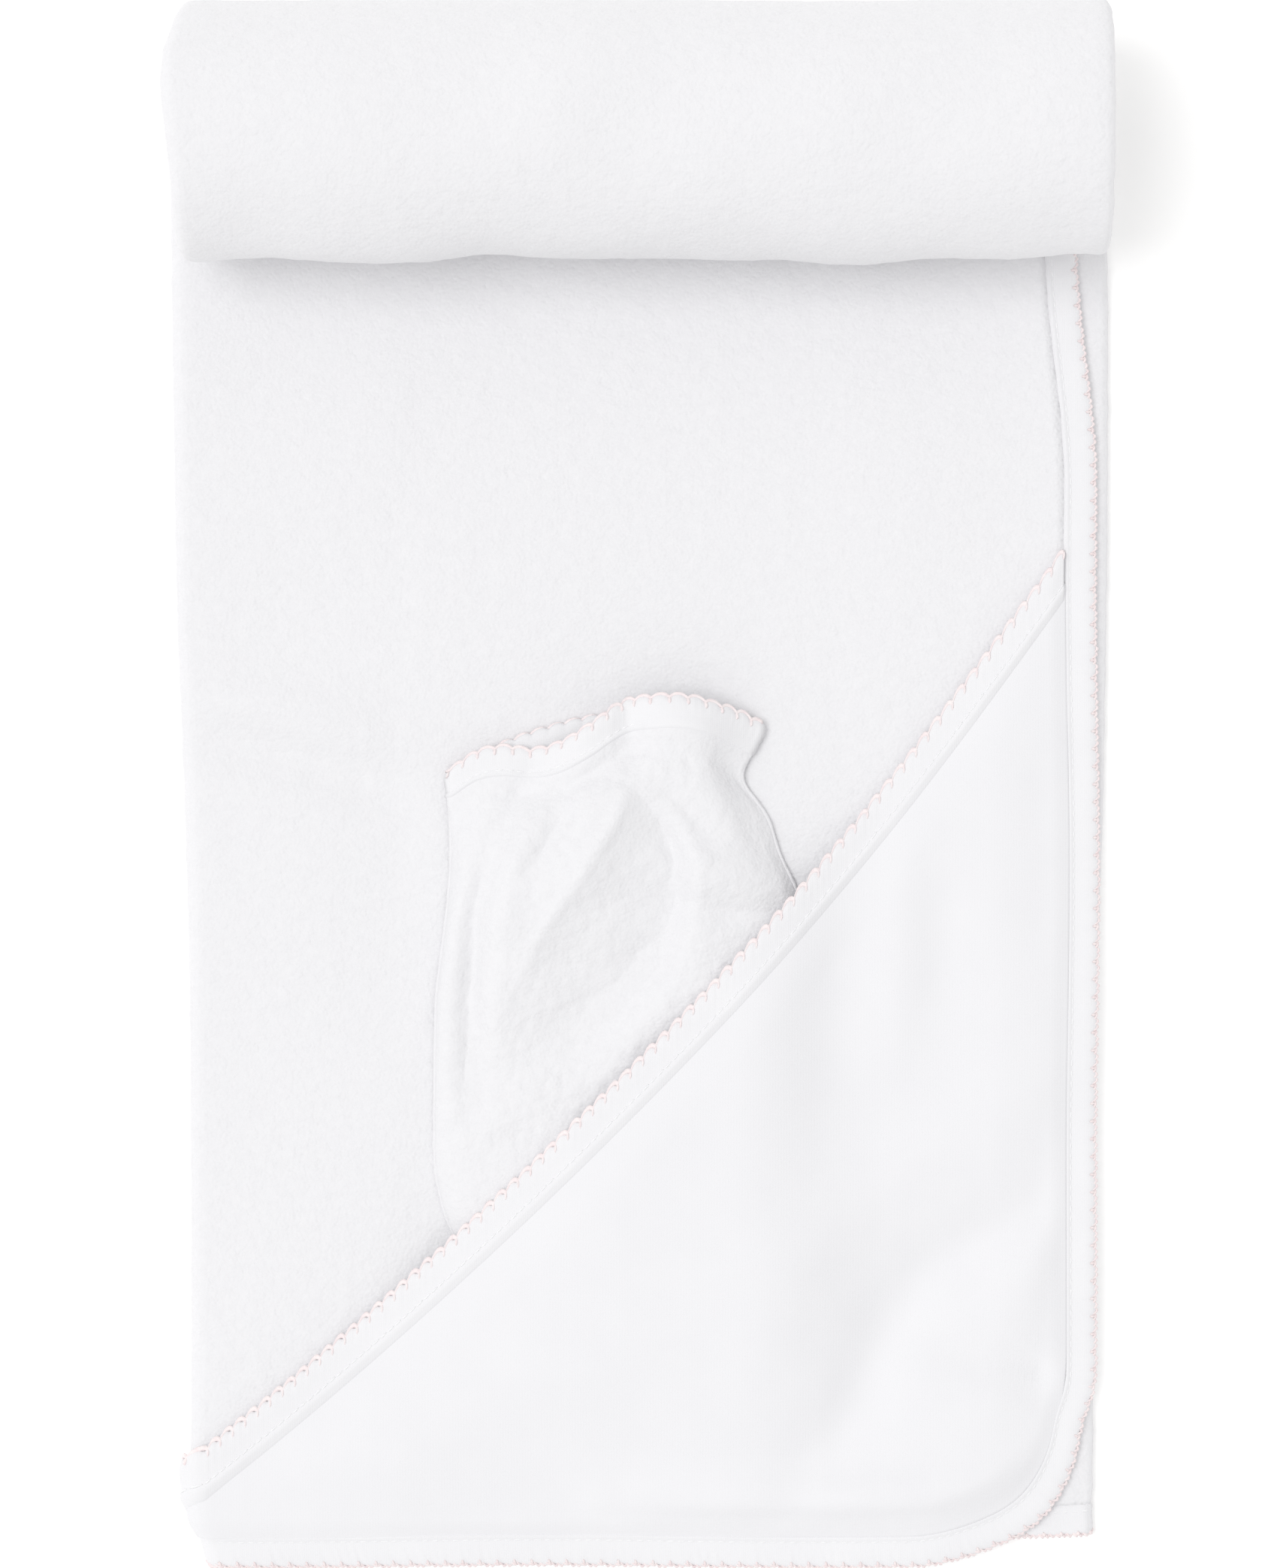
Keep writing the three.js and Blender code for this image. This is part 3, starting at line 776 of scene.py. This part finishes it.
# The binding's section, inward from the rim and off the cloth's middle: a lip, a stitched groove, and a
# soft rim on the upper face, and a plain lower face.
TAPE_UPPER = [
    (TAPE_INSIDE, 0.0), (9.45, 0.5), (9.05, 0.92), (8.65, 1.42), (8.3, 1.8), (7.9, 1.95), (7.45, 1.74),
    (STITCH_LINE, 1.45), (6.6, 1.46), (5.6, 1.52), (4.2, 1.7), (2.9, 1.8), (1.8, 1.68), (1.0, 1.36),
    (0.4, 0.88), (0.0, 0.1),
]
TAPE_LOWER = [(0.4, -0.7), (1.2, -1.2), (3.5, -1.48), (7.6, -1.52), (8.6, -1.46), (9.25, -1.0)]
GROOVE = (6, 8.5)
FILLED_GROOVE = 1.66


def notch_depth(edge, crest):
    """How far the rim is drawn in: crest is 0 at a notch and 1 halfway between two."""
    return edge.notch * (1 - crest) ** 1.3


def tape_section(edge, along):
    """The folded binding's outline at stations along an edge, gathered by its thread and scalloped."""
    crest = np.abs(np.sin(math.pi * along / SCALLOP))
    notch = notch_depth(edge, crest)
    flat = edge.plain(along)
    wander = ripples(51, 9)(along, 0 * along)
    gather = np.sin(2 * math.pi * along / 1.7 + 2.5 * wander) * 0.5 + 0.5 * ripples(52, 2.6)(along, 0 * along)
    swollen = np.maximum(edge.swollen(along), 0.7 * smooth(flat, 0.6, 1))
    points = []
    for inward, off in TAPE_UPPER:
        level = FILLED_GROOVE if GROOVE[0] < inward < GROOVE[1] else off
        softened = lerp(off, level, swollen) * lerp(1, HIDDEN_SHARE, flat)
        puff = 0.2 * edge.notch * (crest - 0.6) * hump(inward, 1.6, 1.5)
        puff = (puff + 0.09 * gather * hump(inward, 2.6, 2.6)) * (1 - 0.6 * flat)
        reach = inward + edge.lip * smooth(inward, 7.8, TAPE_INSIDE)
        points.append((reach + notch * clamp(1 - inward / 3), softened + puff * (off > 0.5)))
    for inward, off in TAPE_LOWER:
        points.append((inward + notch * clamp(1 - inward / 3), off + 0 * along))
    inward, off = (np.stack(values, axis=1) for values in zip(*points))
    return inward, off


def tape(name, edge, along):
    """The binding, swept along its edge."""
    inward, off = tape_section(edge, along)
    return swept(name, edge.at(along[:, None], inward, off), edge.closed)


def circle(sides):
    """The two coordinates of points round a circle."""
    angle = np.arange(sides) * 2 * math.pi / sides
    return np.cos(angle), np.sin(angle)


def picot_cords(edge, count):
    """Points, faces and end faces of the cords along the rim; two cords are wound round each other."""
    inward_part, off_part = circle(PICOT_SIDES)
    pitch = edge.length / count
    steps = 10
    along = np.arange(count * steps + (0 if edge.closed else 1)) * pitch / steps
    crest = np.abs(np.sin(math.pi * along / pitch))
    wobble = ripples(61, 6)(along, 0 * along)
    flat = edge.plain(along)
    radius = edge.thread + 0.12 * smooth(flat, 0.6, 1)[:, None]
    spread = 0.62 * (edge.strands - 1)
    rings = len(along)
    last_row = rings + 1 if edge.closed else rings
    ring_faces = grid_faces(last_row, PICOT_SIDES, ring=True) % (rings * PICOT_SIDES)
    cords, faces = [], []
    for strand in range(edge.strands):
        twist = 3 * math.pi * along / pitch + strand * math.pi
        inward = notch_depth(edge, crest) + 0.08 + 0.8 * spread + spread * np.cos(twist) + 0.08 * wobble
        off = lerp(0.5, 0.2, flat) + 0.35 * (1 - crest) + 0.5 * spread * np.sin(twist) + 0.1 * wobble
        cords.append(edge.at(along[:, None], inward[:, None] + radius * inward_part,
                             off[:, None] + radius * off_part))
        faces.append(ring_faces + strand * rings * PICOT_SIDES)
    ends = np.zeros((0, PICOT_SIDES), int)
    if not edge.closed:
        ends = np.stack([np.arange(PICOT_SIDES)[::-1], np.arange(PICOT_SIDES) + (rings - 1) * PICOT_SIDES])
    return np.concatenate(cords).reshape(-1, 3), np.concatenate(faces), ends


def picot_bites(edge, count):
    """Short threads, one at each notch, that go over the rim and into the binding."""
    inward_part, off_part = circle(PICOT_SIDES)
    notches = (np.arange(count) * edge.length / count)[:, None, None]
    flat = edge.plain(notches)
    t = np.linspace(0, 1, 5)[None, :, None]
    radius = 0.8 * edge.thread * np.array([0.5, 1, 1, 0.95, 0.45])[None, :, None]
    top = through([(0, 0.6), (0.3, 1.35), (0.7, 1.8), (1, 1.6)], t) * lerp(1, HIDDEN_SHARE, flat)
    reach = lerp(edge.notch * 0.8, edge.tooth, t) + 0 * flat
    return edge.at(notches + radius * inward_part, reach, top + radius * off_part)


def picot(name, edge):
    """The thread that draws the binding's rim into scallops."""
    count = round(edge.length / SCALLOP)
    cord_points, cord_faces, cord_ends = picot_cords(edge, count)
    bite_points, bite_faces, bite_ends = threads(picot_bites(edge, count))
    shift = len(cord_points)
    points = np.concatenate([cord_points, bite_points])
    return build(name, points, cord_faces, cord_ends, bite_faces + shift, bite_ends[:, ::-1] + shift)


def stitch_row(name, edge):
    """Separate stitches sunk into the binding's groove."""
    inward_part, off_part = circle(5)
    pitch = edge.length / edge.stitches
    starts = (np.arange(edge.stitches) * pitch)[:, None, None]
    t = np.linspace(0, 1, 5)[None, :, None]
    radius = 0.24 * np.array([0.55, 0.95, 1, 0.95, 0.55])[None, :, None]
    sunk = 0.5 * edge.swollen(starts) - edge.proud
    rise = 1.44 * lerp(1, HIDDEN_SHARE, edge.plain(starts)) - 0.22 * (2 * t - 1) ** 2 - sunk
    runs = edge.at(starts + (0.06 + 0.84 * t) * pitch, STITCH_LINE + radius * inward_part,
                   rise + radius * off_part)
    return build(name, *threads(runs))


def outline_stations(outline):
    """Close together where the edge shows, further apart under the other layers and in the roll."""
    side_end = 330
    hood_edge_start = outline.length - outline.arc - 200
    return spaced((0, side_end, 0.6), (side_end, hood_edge_start, 1.6),
                  (hood_edge_start, outline.length, 0.6))[:-1]


# ---- Hood pieces ----


def hood_cloth():
    """The hood's jersey, from under the bound edge to under the binding of its mouth."""
    under_binding = 7.2
    across = spaced((HOOD_TUCK, 16, 0.8), (16, FIRST_FOLD, 2), (FIRST_FOLD, FIRST_END, 1),
                    (FIRST_END, HOOD_TIP_END, 2))
    share = spaced((0, 0.06, 1 / 240), (0.06, 1, 1 / 130))
    t, u = np.meshgrid(share, across, indexing="ij")
    low = np.where(u < CORNER, corner_cut(u, HOOD_TUCK), HOOD_TUCK)
    high = mouth_edge(u) - under_binding * SLANT
    v = lerp(low, high, t)
    return closed_sheet("hood_cloth", place_hood(u, v, HOOD_HALF), place_hood(u, v, -HOOD_HALF))


# ---- Mitt pieces ----


def mitt_cloth(name, start, end, columns, spacing):
    """One panel, between two turns round the mitt, with closer points down to where the hood covers it."""
    covered = 110
    turn = np.linspace(start, end, columns)
    s = spaced((CLOTH_INSET - 0.4, covered, spacing), (covered, MITT_LENGTH, 3))
    s, turn = np.meshgrid(s, turn, indexing="ij")
    beside_seam = smooth(np.abs(np.cos(turn)), 0.9, 1) * smooth(s, 9, 20)
    beside_seam = np.maximum(beside_seam, smooth(s, MITT_LENGTH - 10, MITT_LENGTH))
    half = MITT_THICK / 2 - 0.6 * beside_seam
    return closed_sheet(name, mitt_point(turn, s, half), mitt_point(turn, s, -half))


def mitt_seam():
    """The closing seam down both sides of the mitt and round its tip."""
    outward_part, up_part = circle(8)
    down = spaced((TAPE_INSIDE, MITT_LENGTH, 1.5))
    tip = np.linspace(-1, 1, 12)[1:-1]
    left = mitt_surface(0 * down, down)
    right = mitt_surface(0 * down + math.pi, down)[::-1]
    round_tip = np.stack([
        lerp(left[-1, 0], right[0, 0], (tip + 1) / 2),
        MITT_TIP_Y - 0.8 * (1 - tip**2),
        left[-1, 2] + 0 * tip,
    ], axis=1)
    route = np.concatenate([left, round_tip, right])
    ahead = np.gradient(route, axis=0)
    ahead /= np.linalg.norm(ahead, axis=1, keepdims=True)
    up = np.array([0, 0, 1.0])
    out = np.cross(ahead, up)[:, None]
    radius = 0.72 + 0.08 * ripples(71, 5)(np.arange(len(route)), 0 * route[:, 0])
    ring = out * outward_part[None, :, None] + up * up_part[None, :, None]
    return swept("mitt_seam", route[:, None] + out * 0.5 + ring * radius[:, None, None], False)


# ---- Assembly ----


def make_edging(name, edge, body, along, picot_look):
    """An edge's binding, picot and stitches, in place of the CAD nodes of the same edge."""
    binding = tape(f"{name}_tape", edge, along)
    finish_piece(binding, body, TAPE_LOOK, f"{name}_binding")
    trim = picot(f"{name}_scallops", edge)
    finish_piece(trim, body, picot_look, f"{name}_picot")
    seam = stitch_row(f"{name}_stitches", edge)
    finish_piece(seam, body, WHITE_LOOK, f"{name}_topstitch")
    return [binding, trim, seam]


def make_towel():
    outline = ClothOutline()
    cloth = finish_piece(towel_cloth(), "towel", TERRY_LOOK, "towel_body")
    edging = make_edging("edge", outline, "towel", outline_stations(outline), PINK_LOOK)


def make_hood():
    mouth = HoodMouth()
    cloth = finish_piece(hood_cloth(), "towel", JERSEY_LOOK, "hood_panel")
    along = spaced((0, mouth.length, 0.6))
    edging = make_edging("hood_mouth", mouth, "towel", along, PALE_PINK_LOOK)


def make_mitt():
    cuff = MittCuff()
    front = mitt_cloth("mitt_front_cloth", 0, math.pi, 151, 0.8)
    finish_piece(front, "mitt", TERRY_LOOK, "mitt_front")
    back = mitt_cloth("mitt_back_cloth", math.pi, 2 * math.pi, 61, 2)
    finish_piece(back, "mitt", TERRY_LOOK, "mitt_back")
    joining = finish_piece(mitt_seam(), "mitt", TERRY_LOOK, "mitt_side_seam")
    along = spaced((0, cuff.length, 0.5))[:-1]
    edging = make_edging("mitt_cuff", cuff, "mitt", along, PALE_PINK_LOOK)


# ---- Floor, light and camera ----


def soft_light(name, energy, spread, towards):
    """A broad far light, seen from the towel in the direction given."""
    lamp = bpy.data.lights.new(name, "SUN")
    lamp.energy = energy
    lamp.angle = math.radians(spread)
    light = bpy.data.objects.new(name, lamp)
    light.rotation_euler = Vector(towards).to_track_quat("Z", "Y").to_euler()
    bpy.context.scene.collection.objects.link(light)


def make_floor():
    """A plain pale floor that glows a little, so that it comes out as white as paper."""
    half = 3
    corners = [(-half, -half, 0), (half, -half, 0), (half, half, 0), (-half, half, 0)]
    mesh = bpy.data.meshes.new("floor")
    mesh.from_pydata(corners, [], [(0, 1, 2, 3)])
    floor = bpy.data.objects.new("floor", mesh)
    bpy.context.scene.collection.objects.link(floor)
    look = bpy.data.materials.new("pale_floor")
    look.use_nodes = True
    shader = look.node_tree.nodes["Principled BSDF"]
    shader.inputs["Base Color"].default_value = (0.97, 0.968, 0.962, 1)
    shader.inputs["Roughness"].default_value = 1.0
    shader.inputs["Specular IOR Level"].default_value = 0.0
    shader.inputs["Emission Color"].default_value = (1, 1, 1, 1)
    shader.inputs["Emission Strength"].default_value = 0.12
    mesh.materials.append(look)


def make_studio():
    """White light from all around, and a little more of it from the upper left."""
    world = bpy.data.worlds.new("studio")
    world.use_nodes = True
    world.node_tree.nodes["Background"].inputs["Color"].default_value = (1, 1, 1, 1)
    world.node_tree.nodes["Background"].inputs["Strength"].default_value = 0.82
    bpy.context.scene.world = world
    soft_light("key_light", 1.05, 34, (-0.40, 0.07, 0.90))
    bpy.context.scene.view_settings.view_transform = "Standard"
    bpy.context.scene.view_settings.look = "None"


def make_camera():
    """Straight above the towel, far enough off to look almost parallel, with its view a hair off centre."""
    low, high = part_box("towel_body")
    distance = 1.692
    frame_height = 0.4243
    aside = 0.00045
    ahead = 0.0009
    camera = bpy.data.cameras.new("overhead")
    camera.sensor_fit = "VERTICAL"
    camera.angle = 2 * math.atan(frame_height / 2 / distance)
    camera.clip_end = 20
    view = bpy.data.objects.new("overhead", camera)
    middle_x = (low.x + high.x) / 2 + aside
    middle_y = (low.y + high.y) / 2 + ahead
    view.location = (middle_x, middle_y, TOWEL_TOP * MM + distance)
    bpy.context.scene.collection.objects.link(view)
    bpy.context.scene.camera = view


make_camera()
make_towel()
make_hood()
make_mitt()
make_floor()
make_studio()
